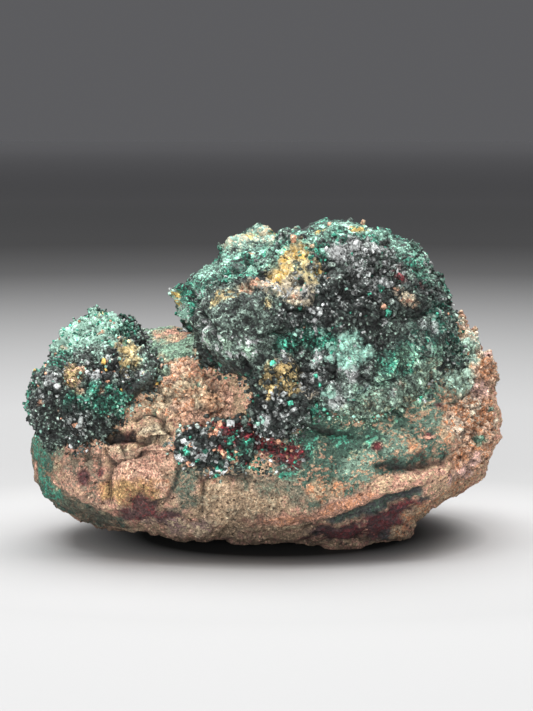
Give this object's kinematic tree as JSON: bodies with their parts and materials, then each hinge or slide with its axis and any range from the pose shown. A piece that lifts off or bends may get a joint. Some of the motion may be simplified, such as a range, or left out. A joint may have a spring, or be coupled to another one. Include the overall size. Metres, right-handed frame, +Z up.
{
  "type": "atacamite specimen",
  "caption": "Palm-sized mineral specimen: mounds of dark green atacamite crystals grown on a lump of tan and pink iron-stained rock.",
  "frame": {"origin": "middle of the underside, on the surface that the specimen stands on", "axes": "+Z up, +X to the right along the longest side as the shown face is seen, -Y out of the shown face"},
  "size_m": [0.089, 0.056, 0.06],
  "materials": {
    "matrix_rock": "rough, granular, tan to pink with iron stains and a thin grey-green film",
    "dark_crystals": "glassy fine crystals, near-black green with pale green, ochre and rust patches"
  },
  "bodies": {
    "root": {"rock_matrix": "matrix_rock", "large_crystal_mound": "dark_crystals", "small_crystal_mound": "dark_crystals", "front_crystal_patch": "dark_crystals"}
  },
  "joints": []
}
